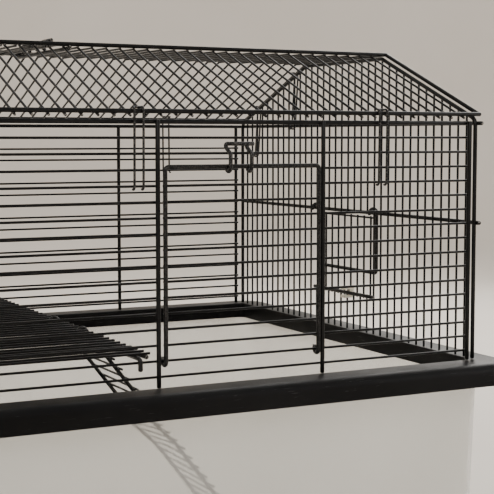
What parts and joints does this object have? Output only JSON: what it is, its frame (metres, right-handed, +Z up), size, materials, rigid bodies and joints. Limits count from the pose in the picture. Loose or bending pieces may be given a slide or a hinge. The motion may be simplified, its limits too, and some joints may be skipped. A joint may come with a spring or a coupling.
{
  "type": "wire small-animal cage",
  "caption": "Small-animal cage: deep clear plastic tub, black rim, black wire top with hipped roof, front door, side flap, roof hatch, shelf and ladder.",
  "frame": {"origin": "centre of the tub's footprint on the floor", "axes": "+X along the length towards the end wall with the side flap, -Y towards the side with the front door, +Z up"},
  "size_m": [0.785, 0.492, 0.5642],
  "materials": {
    "clear_tub": "clear, slightly hazy",
    "black_rim": "satin moulded",
    "black_wire": "semi-gloss black coating",
    "ivory_catch": "satin moulded"
  },
  "bodies": {
    "cage": {"base_tub": "clear_tub", "rim_frame": "black_rim", "front_wall_left": "black_wire", "front_wall_right": "black_wire", "front_wall_header": "black_wire", "front_wall_sill": "black_wire", "back_wall": "black_wire", "end_wall_right_back": "black_wire", "end_wall_right_front": "black_wire", "end_wall_right_header": "black_wire", "end_wall_right_sill": "black_wire", "end_wall_left": "black_wire", "roof_front_slope": "black_wire", "roof_back_slope": "black_wire", "roof_top_left": "black_wire", "roof_top_right": "black_wire", "shelf": "black_wire"},
    "front_door": {"front_door": "black_wire"},
    "front_door_latch": {"front_door_latch": "black_wire"},
    "side_door": {"side_door": "black_wire", "side_door_catch": "ivory_catch"},
    "roof_hatch": {"roof_hatch": "black_wire"},
    "roof_hatch_latch": {"roof_hatch_latch": "black_wire"},
    "ladder": {"ladder": "black_wire"},
    "front_clip_left_inner": {"front_clip_left_inner": "black_wire"},
    "front_clip_right_inner": {"front_clip_right_inner": "black_wire"},
    "front_clip_left_outer": {"front_clip_left_outer": "black_wire"},
    "front_clip_right_outer": {"front_clip_right_outer": "black_wire"},
    "back_clip_left": {"back_clip_left": "black_wire"},
    "back_clip_right": {"back_clip_right": "black_wire"},
    "gable_clip_right_lower": {"gable_clip_right_lower": "black_wire"},
    "gable_clip_right_upper": {"gable_clip_right_upper": "black_wire"},
    "gable_clip_left_lower": {"gable_clip_left_lower": "black_wire"},
    "gable_clip_left_upper": {"gable_clip_left_upper": "black_wire"}
  },
  "joints": [
    {"name": "front_door_hinge", "type": "hinge", "parent": "cage", "child": "front_door", "pos_m": [0.1428, -0.216, 0.309], "axis": [1, 0, 0], "range_deg": [0, 110]},
    {"name": "front_door_latch_pivot", "type": "hinge", "parent": "front_door", "child": "front_door_latch", "pos_m": [0.1382, -0.21915, 0.4551], "axis": [1, 0, 0], "range_deg": [0, 60]},
    {"name": "side_door_hinge", "type": "hinge", "parent": "cage", "child": "side_door", "pos_m": [0.36505, 0, 0.405], "axis": [0, -1, 0], "range_deg": [0, 120]},
    {"name": "roof_hatch_hinge", "type": "hinge", "parent": "cage", "child": "roof_hatch", "pos_m": [-0.0553, 0, 0.55065], "axis": [0, -1, 0], "range_deg": [0, 95]},
    {"name": "roof_hatch_latch_pivot", "type": "hinge", "parent": "roof_hatch", "child": "roof_hatch_latch", "pos_m": [0.04775, 0.012, 0.5546], "axis": [0, -1, 0], "range_deg": [0, 70]},
    {"name": "ladder_hooks", "type": "hinge", "parent": "cage", "child": "ladder", "pos_m": [0.0634, -0.03626, 0.31245], "axis": [0, -1, 0], "range_deg": [0, 8]},
    {"name": "front_clip_left_inner_pivot", "type": "hinge", "parent": "cage", "child": "front_clip_left_inner", "pos_m": [-0.056, -0.216, 0.441], "axis": [1, 0, 0], "range_deg": [0, 150]},
    {"name": "front_clip_right_inner_pivot", "type": "hinge", "parent": "cage", "child": "front_clip_right_inner", "pos_m": [0.056, -0.216, 0.441], "axis": [1, 0, 0], "range_deg": [0, 150]},
    {"name": "front_clip_left_outer_pivot", "type": "hinge", "parent": "cage", "child": "front_clip_left_outer", "pos_m": [-0.269, -0.216, 0.441], "axis": [1, 0, 0], "range_deg": [0, 150]},
    {"name": "front_clip_right_outer_pivot", "type": "hinge", "parent": "cage", "child": "front_clip_right_outer", "pos_m": [0.269, -0.216, 0.441], "axis": [1, 0, 0], "range_deg": [0, 150]},
    {"name": "back_clip_left_pivot", "type": "hinge", "parent": "cage", "child": "back_clip_left", "pos_m": [-0.269, 0.216, 0.441], "axis": [-1, 0, 0], "range_deg": [0, 150]},
    {"name": "back_clip_right_pivot", "type": "hinge", "parent": "cage", "child": "back_clip_right", "pos_m": [0.269, 0.216, 0.441], "axis": [-1, 0, 0], "range_deg": [0, 150]},
    {"name": "gable_clip_right_lower_pivot", "type": "hinge", "parent": "cage", "child": "gable_clip_right_lower", "pos_m": [0.36505, 0.192, 0.459], "axis": [0, 1, 0], "range_deg": [0, 150]},
    {"name": "gable_clip_right_upper_pivot", "type": "hinge", "parent": "cage", "child": "gable_clip_right_upper", "pos_m": [0.36505, 0.108, 0.489], "axis": [0, 1, 0], "range_deg": [0, 150]},
    {"name": "gable_clip_left_lower_pivot", "type": "hinge", "parent": "cage", "child": "gable_clip_left_lower", "pos_m": [-0.36505, 0.192, 0.459], "axis": [0, -1, 0], "range_deg": [0, 150]},
    {"name": "gable_clip_left_upper_pivot", "type": "hinge", "parent": "cage", "child": "gable_clip_left_upper", "pos_m": [-0.36505, 0.108, 0.489], "axis": [0, -1, 0], "range_deg": [0, 150]}
  ]
}
